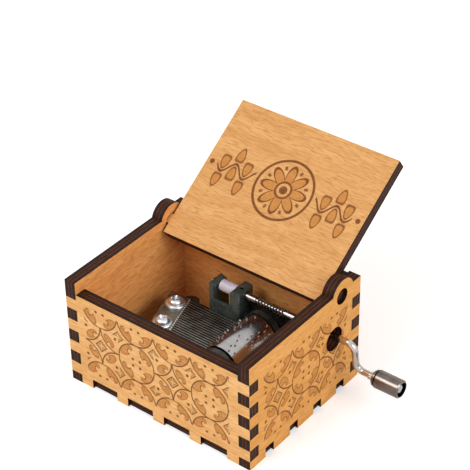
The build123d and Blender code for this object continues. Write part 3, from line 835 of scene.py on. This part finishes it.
# %% Primitives
def take(piece):
    """Makes this piece the only one selected, with its place in its mesh."""
    bpy.ops.object.select_all(action="DESELECT")
    bpy.context.view_layer.objects.active = piece
    piece.select_set(True)
    bpy.ops.object.transform_apply(location=True, rotation=True, scale=True)
    return piece


def block(low, high):
    """A box between two corners."""
    low, high = Vector(low), Vector(high)
    bpy.ops.object.select_all(action="DESELECT")
    bpy.ops.mesh.primitive_cube_add(size=1.0, location=(low + high) / 2)
    bpy.context.object.scale = high - low
    return take(bpy.context.object)


def rod(middle, radius, length, turned=(0, 0, 0), sides=48):
    """A round bar about its middle, upright unless it is turned."""
    bpy.ops.object.select_all(action="DESELECT")
    bpy.ops.mesh.primitive_cylinder_add(
        vertices=sides, radius=radius, depth=length, location=middle, rotation=turned
    )
    return take(bpy.context.object)


print("primitives: block and rod")

# %% [markdown]
# ## Picking faces and edges
# In the window, faces are clicked. In code they could be picked by their number, but numbers
# change with every cut. Places and directions don't, so those are tested. A mesh's own
# selection can only be written in object mode, so edit mode is left and entered again.

# %% Picking
near = 0.01 * mm
nearly_upright = 0.9


def start_picking(kind):
    """Deselects all faces or edges, and leaves edit mode."""
    bpy.ops.object.mode_set(mode="EDIT")
    bpy.ops.mesh.select_mode(type=kind)
    bpy.ops.mesh.select_all(action="DESELECT")
    bpy.ops.object.mode_set(mode="OBJECT")


def pick_faces(piece, test):
    """Opens edit mode with only those faces selected whose middle and normal pass."""
    start_picking("FACE")
    for face in piece.data.polygons:
        face.select = test(face.center, face.normal)
    bpy.ops.object.mode_set(mode="EDIT")


def pick_edges(piece, test):
    """Opens edit mode with only those edges selected whose two ends pass together."""
    start_picking("EDGE")
    for edge in piece.data.edges:
        start, end = (piece.data.vertices[corner].co for corner in edge.vertices)
        edge.select = test(start, end)
    bpy.ops.object.mode_set(mode="EDIT")


def top_face(piece):
    """Picks the faces at the very top."""
    top = max(vertex.co.z for vertex in piece.data.vertices)
    pick_faces(piece, lambda middle, normal: normal.z > nearly_upright and middle.z > top - near)


print("picking, nearness in mm:", near / mm)

# %% [markdown]
# ## Raising and cutting
# A turned or forged form rises in steps: each step extrudes the picked face and makes it
# narrower. A dome is many such steps along a quarter of a circle. Holes and hollows are cut
# with a Boolean modifier, which needs no new edges by hand, and a narrow bevel rounds what
# was left sharp, because no real edge is sharp and the light catches it.


# %% Raising and cutting
def raise_face(rise, scale):
    """Extrudes the picked face upwards and then scales it about the upright axis."""
    bpy.ops.mesh.extrude_region_move(TRANSFORM_OT_translate={"value": (0, 0, rise)})
    bpy.ops.transform.resize(value=(scale, scale, 1), center_override=(0, 0, 0))


def raise_dome(rise, turn, square, steps):
    """Raises the picked face into a dome. A smaller square makes its shoulders squarer."""
    width = 1.0
    height = 0.0
    for step in range(1, steps + 1):
        angle = turn * step / steps
        next_width = cos(angle) ** square
        next_height = rise * sin(angle) / sin(turn)
        raise_face(next_height - height, next_width / width)
        width = next_width
        height = next_height


def apply_modifiers(piece):
    """Applies all of a piece's modifiers, in their order."""
    take(piece)
    for modifier in list(piece.modifiers):
        bpy.ops.object.modifier_apply(modifier=modifier.name)


def combine(piece, tool, operation="DIFFERENCE"):
    """Cuts a tool out of a piece, or with UNION joins it on, and removes the tool."""
    change = piece.modifiers.new("combine", "BOOLEAN")
    change.operation = operation
    change.solver = "EXACT"
    change.object = tool
    apply_modifiers(piece)
    bpy.data.objects.remove(tool)


def soften(piece, width, angle=radians(35)):
    """Rounds the sharp edges and smooths what lies between them."""
    bevel = piece.modifiers.new("soften", "BEVEL")
    bevel.width = width
    bevel.segments = 2
    bevel.limit_method = "ANGLE"
    bevel.angle_limit = angle
    apply_modifiers(piece)
    bpy.ops.object.shade_smooth_by_angle(angle=angle)


print("modelling helpers: ready")

# %% [markdown]
# ## A cross recess
# A comb screw is driven through a cross recess that narrows downwards, to guide the
# driver's tip. It could be four faces pushed in, but a cutter is simpler to place: two
# crossed blocks whose lower faces are drawn in, cut out of the head in one go.

# %% Cross cutter
recess_reach = 1.85 * mm
recess_width = 0.8 * mm
recess_depth = 1.0 * mm
recess_taper = (0.42, 0.5, 1)


def cross_cutter(head_top):
    """A tapered cross that stands in the head, about the screw's own axis."""
    arms = []
    for turn in (0, pi / 2):
        size = Vector((recess_reach, recess_width / 2, 0))
        arm = block(-size - Vector((0, 0, recess_depth)), size + Vector((0, 0, mm)))
        pick_faces(arm, lambda middle, normal: normal.z < -nearly_upright)
        bpy.ops.transform.resize(value=recess_taper, center_override=(0, 0, -recess_depth))
        bpy.ops.object.mode_set(mode="OBJECT")
        arm.rotation_euler.z = turn
        arm.location.z = head_top
        arms.append(take(arm))
    combine(arms[0], arms[1], "UNION")
    return arms[0]


print("recess, mm wide and deep:", recess_width / mm, recess_depth / mm)

# %% [markdown]
# ## Comb screws
# Two pan head screws with a flange hold the comb. Such a head is forged: a thin flange and
# a low dome. A profile spun about the axis would do, but extruding shows the steps: a
# cylinder is the shank, and its top face is widened and raised into flange and dome. One
# screw is modelled, and a copy with its own mesh is the other, turned as far as it was
# driven.

# %% Comb screw
comb_low, comb_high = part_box("comb")
screws_low, screws_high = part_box("comb_screws")
flange_radius = 3.0 * mm
flange_height = 0.5 * mm
flange_side = 0.6 * flange_height
flange_bevel = 0.95
head_radius = 2.25 * mm
head_rise = screws_high.z - comb_high.z - flange_height
shank_radius = 1.4 * mm
shank_length = comb_high.z - screws_low.z
dome_turn = radians(72)
dome_square = 0.5
dome_steps = 7
screw_softness = 0.05 * mm


screws = rod((0, 0, -shank_length / 2), shank_radius, shank_length)
screws.name = "cross_head_screws"
top_face(screws)
raise_face(0, flange_radius / shank_radius)
raise_face(flange_side, 1)
raise_face(flange_height - flange_side, flange_bevel)
raise_face(0, head_radius / (flange_bevel * flange_radius))
raise_dome(head_rise, dome_turn, dome_square, dome_steps)
bpy.ops.object.mode_set(mode="OBJECT")
combine(screws, cross_cutter(flange_height + head_rise))
soften(screws, screw_softness)
print("one screw:", len(screws.data.polygons), "faces")

# %% Both screws in place
back_turn = radians(20)
front_turn = radians(65)

back_screw = screws.copy()
back_screw.data = screws.data.copy()
bpy.context.scene.collection.objects.link(back_screw)
back_screw.rotation_euler.z = back_turn
back_screw.location = (screws_low.x + flange_radius, screws_high.y - flange_radius, comb_high.z)
take(back_screw)
screws.rotation_euler.z = front_turn
screws.location = (screws_high.x - flange_radius, screws_low.y + flange_radius, comb_high.z)
take(screws)
back_screw.select_set(True)
bpy.ops.object.join()
print("comb screws:", len(screws.data.polygons), "faces")

# %% [markdown]
# ## Crank bracket
# The bracket is a small casting: two lugs that carry the shaft, joined by a thin web in
# front and a low floor, so that the wooden wall shows between them. It could be built up
# from plates, but their joints would show. A hollow is cleaner when it is cut: start with
# the whole block, round its upright corners, and take away the gap and the hollow.

# %% Bracket
bracket_low, bracket_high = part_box("crank_bracket")
crank_spin = next(joint for joint in frame["joints"] if joint["name"] == "crank_spin")
shaft_place = Vector(crank_spin["pos_m"])
left_lug_length = 2.0 * mm
right_lug_length = 3.3 * mm
right_lug_top = shaft_place.z + 1.7 * mm
web_top = shaft_place.z - 3.75 * mm
web_thickness = 1.1 * mm
bracket_floor = bracket_low.z + 5.9 * mm
corner_radius = 0.9 * mm
round_steps = 5
clear = 1.0 * mm

bracket = block(bracket_low, (bracket_high.x, bracket_high.y, right_lug_top))
pick_edges(bracket, lambda foot, head: abs(foot.z - head.z) > mm)
bpy.ops.mesh.bevel(offset=corner_radius, segments=round_steps)
bpy.ops.object.mode_set(mode="OBJECT")

gap_left = bracket_low.x + left_lug_length
gap_right = bracket_high.x - right_lug_length
front = bracket_low.y - clear
back = bracket_high.y + clear
above = bracket_high.z + clear
hollow_front = bracket_low.y + web_thickness
combine(bracket, block((gap_left, front, web_top), (gap_right, back, above)))
combine(bracket, block((gap_left, hollow_front, bracket_floor), (gap_right, back, web_top + clear)))
print("bracket's gap, mm:", round((gap_right - gap_left) / mm, 2))

# %% [markdown]
# ## The left lug
# The left lug is lower and thinner than the right one, and its back shoulder is round. Two
# more cuts lower it and set it back, and a wide bevel on the one edge between them rounds
# the shoulder.

# %% Left lug
left_lug_top = shaft_place.z + 1.5 * mm
lug_back = bracket_high.y - 0.8 * mm
shoulder_radius = 1.3 * mm
lug_left = bracket_low.x - clear
lug_right = gap_left + clear

combine(bracket, block((lug_left, front, left_lug_top), (lug_right, back, above)))
combine(bracket, block((lug_left, lug_back, web_top - clear), (lug_right, back, above)))


def at_shoulder(end):
    """True at the left lug's upper back edge."""
    return abs(end.z - left_lug_top) < near and abs(end.y - lug_back) < near


pick_edges(bracket, lambda start, end: at_shoulder(start) and at_shoulder(end))
bpy.ops.mesh.bevel(offset=shoulder_radius, segments=round_steps)
bpy.ops.object.mode_set(mode="OBJECT")
print("left lug's shoulder, mm:", shoulder_radius / mm)

# %% [markdown]
# ## Holes and rivet
# The shaft runs through both lugs, and a screw comes up from below into the floor. Both
# holes are drilled with rods. The hollow rivet on the right lug is a rod too, with its top
# face inset and pushed down, and it is joined on as a part of the same casting.

# %% Holes and rivet
shaft_bore_radius = 1.2 * mm
shaft_bore_length = 20 * mm
screw_hole_radius = 1.4 * mm
screw_hole_depth = 5.7 * mm
casting_softness = 0.28 * mm
rivet_radius = 0.95 * mm
rivet_wall = 0.3 * mm
rivet_softness = 0.06 * mm
bracket_middle = (bracket_low.x + bracket_high.x) / 2
shaft_middle = (bracket_middle, shaft_place.y, shaft_place.z)
screw_middle = (bracket_middle, shaft_place.y, bracket_low.z)

combine(bracket, rod(shaft_middle, shaft_bore_radius, shaft_bore_length, (0, pi / 2, 0)))
combine(bracket, rod(screw_middle, screw_hole_radius, 2 * screw_hole_depth))
soften(bracket, casting_softness)

rivet_height = bracket_high.z - right_lug_top
rivet_middle = (gap_right + right_lug_length / 2, shaft_place.y, right_lug_top)
rivet = rod(rivet_middle, rivet_radius, 2 * rivet_height, sides=32)
top_face(rivet)
bpy.ops.mesh.inset(thickness=rivet_wall)
bpy.ops.mesh.extrude_region_move(TRANSFORM_OT_translate={"value": (0, 0, -rivet_height)})
bpy.ops.object.mode_set(mode="OBJECT")
soften(rivet, rivet_softness)
take(bracket)
rivet.select_set(True)
bpy.ops.object.join()
bracket.name = "hollow_bracket"
print("bracket:", len(bracket.data.polygons), "faces")

# %% [markdown]
# ## What they stand for
# The screws and the bracket belong to the case. Each takes the place of the plain piece of
# the frame, which is hidden.

# %% Screws and bracket in the frame
stand_ins = (
    (screws, "comb_screws", "plated_screws"),
    (bracket, "crank_bracket", "dark_casting"),
)
for piece, node, slot_name in stand_ins:
    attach(piece, "case")
    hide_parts(node)
print("pieces that stand in:", len(stand_ins))

# %% [markdown]
# ## Cap in the knob's cup
# A push-on cap keeps the knob on its wire. It is pressed from thin steel: a rim, and a dome
# over the wire's end. A sphere cut in half would be too round. It is raised from a disc like
# the screws' heads, lying along z, and then turned to face along x and put on the cup's
# floor.

# %% Cap
retainer_low, retainer_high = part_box("knob_retainer")
knob_low, knob_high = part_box("knob")
cap_radius = (retainer_high.y - retainer_low.y) / 2
rim_height = retainer_high.x - retainer_low.x
cap_setback = 0.3 * mm
cap_rise = knob_high.x - retainer_high.x - cap_setback
cap_shoulder = 0.84
cap_turn = radians(70)
cap_square = 0.6
cap_steps = 6
cap_softness = 0.05 * mm

cap = rod((0, 0, rim_height / 2), cap_radius, rim_height)
top_face(cap)
raise_face(0, cap_shoulder)
raise_dome(cap_rise, cap_turn, cap_square, cap_steps)
bpy.ops.object.mode_set(mode="OBJECT")
soften(cap, cap_softness)
cap_middle = (retainer_low + retainer_high) / 2
cap.rotation_euler.y = pi / 2
cap.location = (retainer_low.x, cap_middle.y, cap_middle.z)
take(cap)
cap.name = "knob_cap"
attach(cap, "crank")
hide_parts("knob_retainer")
print("cap:", len(cap.data.polygons), "faces")

# %% [markdown]
# ## Painted shade in the knob
# The groove round the knob and the wall of its cup lie in shade and look almost black, so
# that shade is painted on them, nearly black. The cup's floor is behind the cap and is left
# bright. The painted shade could be a second material on those faces, but it reaches a
# little past the groove's edge, so it is a mask by place.

# %% Painted shade in the knob
# The knob's groove and the wall of its cup get painted shade.
knob_axis = (knob_low + knob_high) / 2
groove_start = knob_low.x + 0.9 * mm
groove_end = groove_start + 0.35 * mm
cup_radius = 2.2 * mm
cup_floor = knob_high.x - 2.0 * mm
hair = 0.02 * mm
shade_creep = 0.18 * mm
painted_shade_black = colour("#17120E")


def painted_knob_shade(tree, here):
    """Painted shade: 1 in the groove and on the wall of the cup."""
    parts = add(tree, "SeparateXYZ", here).node.outputs
    off_axis = add(tree, "VectorMath", here, tuple(knob_axis), operation="SUBTRACT")
    across = add(tree, "VectorMath", off_axis, (0, 1, 1), operation="MULTIPLY")
    radius = add(tree, "VectorMath", across, operation="LENGTH")
    in_bore = add(tree, "Math", radius, cup_radius, operation="LESS_THAN")
    off_floor = add(tree, "Math", parts["X"], cup_floor + hair, operation="GREATER_THAN")
    past_start = add(tree, "Math", parts["X"], groove_start - hair, operation="GREATER_THAN")
    before_end = add(tree, "Math", parts["X"], groove_end + shade_creep, operation="LESS_THAN")
    return either(tree, both(tree, in_bore, off_floor), both(tree, past_start, before_end))


print("groove's width, mm:", round((groove_end - groove_start) / mm, 2))

# %% [markdown]
# ## Painted shade and glints in the comb's slots
# The comb's slots are sawn. Their sides lie in shade, and where they end, along the slanted
# root of the teeth, light glints. The slots themselves are in the frame, but they are so
# narrow that soft light fills them. So both are painted: a mask along each slot paints
# shade, which darkens the teeth's corners too, and a bright dot at its end is a painted glint.

# %% Comb slots
comb_base_width = 7.3 * mm
comb_slant = 0.305
comb_margin = 0.35 * mm
tooth_count = 18
tooth_pitch = (comb_high.y - comb_margin - comb_low.y) / tooth_count
# Painted glints at the slots' ends, and painted shade along their sides.
glint_place = (-0.22 * mm, 0, 0)
glint_radii = (0.2 * mm, 0.36 * mm)
slot_shade_edges = (0.24 * tooth_pitch, 0.3 * tooth_pitch)
first_middle = comb_low.y + tooth_pitch / 2
painted_slot_shade = colour("#171614")
painted_glint_white = colour("#FFFDF4")


def painted_slot_shade_and_glints(tree, here):
    """Two masks: painted glints at the slots' ends along the slanted root, and painted shade along
    their sides.
    """
    parts = add(tree, "SeparateXYZ", here).node.outputs
    root_x = comb_low.x + comb_base_width
    from_back = add(tree, "Math", comb_high.y, parts["Y"], operation="SUBTRACT")
    root = add(tree, "Math", from_back, comb_slant, root_x, operation="MULTIPLY_ADD")
    off_root = add(tree, "Math", parts["X"], root, operation="SUBTRACT")
    from_front = add(tree, "Math", parts["Y"], first_middle, operation="SUBTRACT")
    off_tooth = add(tree, "Math", from_front, tooth_pitch / 2, operation="PINGPONG")
    off_slot = add(tree, "Math", off_tooth, -tooth_pitch / 2, operation="ADD")
    slot_place = add(tree, "CombineXYZ", off_root, off_slot, 0.0)
    away = add(tree, "VectorMath", slot_place, glint_place, operation="DISTANCE")
    painted_glints = add(tree, "MapRange", away, *glint_radii, 1.0, 0.0)
    sides = add(tree, "MapRange", off_tooth, *slot_shade_edges, 0.0, 1.0)
    past_root = add(tree, "Math", off_root, 0.0, operation="GREATER_THAN")
    return painted_glints, both(tree, sides, past_root)


print("pitch of the teeth, mm:", round(tooth_pitch / mm, 2))

# %% [markdown]
# ## Metals
# Polished metal has no colour of its own beyond a tint on its reflections, so each metal is
# a tint, a shade of it in cloudy patches, and a roughness. Tool marks spread the shine
# across them: rings round turned parts, scratches along the comb. They could be modelled as
# anisotropy, but a stretched noise in the roughness shows the single marks. They are drawn
# about half a millimetre apart, because real ones are too fine to show.

# %% Metals
cloud_size = 3.0 * mm
dull_share = 0.85
rough_share = 1.2
dent_depth = 0.01 * mm


def metal(name, tint, shade, rough, marks, painted_shade=None, slot_shade_and_glints=None, dents=None):
    """A metal whose marks have these sizes in mm along x, y and z."""
    material, tree = new_material(name)
    here = add(tree, "TexCoord").node.outputs["Object"]
    fine = add(tree, "VectorMath", here, tuple(1 / (m * mm) for m in marks), operation="MULTIPLY")
    lines = add(tree, "TexNoise", fine, 1.0, 3.0, 0.6)
    clouds = add(tree, "TexNoise", here, 1 / cloud_size, 3.0, 0.6)
    patch = add(tree, "MapRange", clouds, *cloud_span, 0.0, 1.0)
    mixed = add(tree, "Mix", patch, colour(tint), colour(shade), data_type="RGBA")
    # Painted shade along the comb's slots, and painted glints at their ends.
    if slot_shade_and_glints:
        painted_glints, sides = slot_shade_and_glints(tree, here)
        mixed = add(tree, "Mix", sides, mixed, painted_slot_shade, data_type="RGBA")
        mixed = add(tree, "Mix", painted_glints, mixed, painted_glint_white, data_type="RGBA")
    # Painted shade, nearly black, in the knob's groove and cup.
    if painted_shade:
        mixed = add(tree, "Mix", painted_shade(tree, here), mixed, painted_shade_black, data_type="RGBA")
    streaks = add(tree, "MapRange", lines, *noise_span, rough * dull_share, rough * rough_share)
    finish = {"Base Color": mixed, "Metallic": 1.0, "Roughness": streaks}
    if dents:
        finish["Normal"] = add(tree, "Bump", dents, dent_depth, named={"Height": lines})
    add(tree, "OutputMaterial", add(tree, "BsdfPrincipled", named=finish))
    return material


print("cloudy patches on metal, mm:", cloud_size / mm)

# %% [markdown]
# ## The movement's steels
# The drum is turned, so its marks are rings about y. The comb is hardened, and ground along
# its teeth, which leaves it dark and dull. The crank's shaft is ground bright as it spins, so
# its marks are rings about x. One material could serve all three, but then the drum would
# not stand out from the comb as it does.

# %% Steels
drum_steel = metal("turned steel, drum", "#B6B3B3", "#A9A5A5", 0.2, (6.0, 0.5, 6.0))
comb_steel = metal(
    "hardened spring steel", "#97958B", "#6D6B62", 0.4, (8.0, 0.4, 8.0), slot_shade_and_glints=painted_slot_shade_and_glints
)
ground_steel = metal("ground steel rod", "#BFBFC1", "#A3A3A5", 0.22, (0.5, 4.0, 4.0))
dress(nodes["drum"], drum_steel)
dress(nodes["comb"], comb_steel)
dress(nodes["crank_shaft"], ground_steel)
dress(nodes["arbor"], ground_steel)
dress(cap, ground_steel)
print("steels: 3")

# %% [markdown]
# ## Plated metals
# The handle is polished before its nickel plate, and mirrors the room. The knob is brushed
# as it turns, and darker. Zinc on the screws is pale and slightly blue, and it ripples a
# little, which breaks up its highlights, so it alone has a bump.

# %% Platings
nickel = metal("polished nickel plate", "#CFC8C0", "#B3AAA2", 0.16, (0.6, 3.0, 3.0))
knob_nickel = metal(
    "brushed nickel plate", "#7F756F", "#6E645E", 0.22, (0.5, 6.0, 6.0), painted_shade=painted_knob_shade
)
zinc = metal("bright zinc plate", "#EEF2F7", "#D2D8DF", 0.32, (2.0, 2.0, 2.0), dents=0.05)
dress(nodes["crank_handle"], nickel)
dress(nodes["knob"], knob_nickel)
dress(screws, zinc)
for node in ("bearing_screws", "bracket_screw", "mounting_screws"):
    dress(nodes[node], zinc)
print("platings: 3")

# %% [markdown]
# ## Castings
# The movement's frame is die cast zinc under a thin black coating, and the bracket is grey
# from its phosphate bath. Such a coat is smooth but not flat: it has a fine orange peel,
# and it is cloudy where it is thin. Both are noise, one in the bump and the gloss, and the
# other in the colour.

# %% Castings
peel_size = 0.8 * mm
peel_strength = 0.08
peel_depth = 0.03 * mm
coat_cloud_size = 3.0 * mm
coat_span = (0.38, 0.66)
coat_gloss = (0.22, 0.4)


def casting(name, dark, light, metallic):
    """A coated casting. More metallic shows more of the metal through the coat."""
    material, tree = new_material(name)
    here = add(tree, "TexCoord").node.outputs["Object"]
    peel = add(tree, "TexNoise", here, 1 / peel_size, 3.0, 0.55)
    clouds = add(tree, "TexNoise", here, 1 / coat_cloud_size, 3.0, 0.6)
    thin = add(tree, "MapRange", clouds, *coat_span, 0.0, 1.0)
    finish = {
        "Base Color": add(tree, "Mix", thin, colour(dark), colour(light), data_type="RGBA"),
        "Metallic": metallic,
        "Roughness": add(tree, "MapRange", peel, *noise_span, *coat_gloss),
        "Normal": add(tree, "Bump", peel_strength, peel_depth, named={"Height": peel}),
    }
    add(tree, "OutputMaterial", add(tree, "BsdfPrincipled", named=finish))
    return material


black_casting = casting("black coated die casting", "#1C1E1C", "#34382F", 0.2)
grey_casting = casting("grey phosphated die casting", "#4A524E", "#667069", 0.45)
dress(nodes["movement_frame"], black_casting)
dress(nodes["front_bearing"], black_casting)
dress(bracket, grey_casting)
print("castings: 2")

# %% [markdown]
# ## Plastics
# The drum's caps and the wheel are moulded black acetal, which is close to matt. The sleeve
# is natural nylon: it lets some light in, which subsurface scattering gives, and so it
# looks milky. A moulded face is never quite flat, so both have a shallow bump.

# %% Plastics
mould_size = 1.5 * mm
mould_strength = 0.2
mould_depth = 0.02 * mm
light_depth = 0.6 * mm


def plastic(name, tint, shade, rough, soft=0.0):
    """A moulded plastic. Soft is how much of its light comes from under the surface."""
    material, tree = new_material(name)
    here = add(tree, "TexCoord").node.outputs["Object"]
    clouds = add(tree, "TexNoise", here, 1 / mould_size, 3.0, 0.55)
    patch = add(tree, "MapRange", clouds, *cloud_span, 0.0, 1.0)
    finish = {
        "Base Color": add(tree, "Mix", patch, colour(tint), colour(shade), data_type="RGBA"),
        "Roughness": rough,
        "Normal": add(tree, "Bump", mould_strength, mould_depth, named={"Height": clouds}),
        "Subsurface Weight": soft,
        "Subsurface Scale": light_depth,
    }
    add(tree, "OutputMaterial", add(tree, "BsdfPrincipled", named=finish))
    return material


acetal = plastic("moulded black acetal", "#171717", "#232323", 0.45)
nylon = plastic("natural nylon", "#D6D1DA", "#C8C2CC", 0.38, soft=0.35)
for node in ("front_cap", "rear_cap", "worm_wheel"):
    dress(nodes[node], acetal)
dress(nodes["shaft_sleeve"], nylon)
print("plastics: 2")
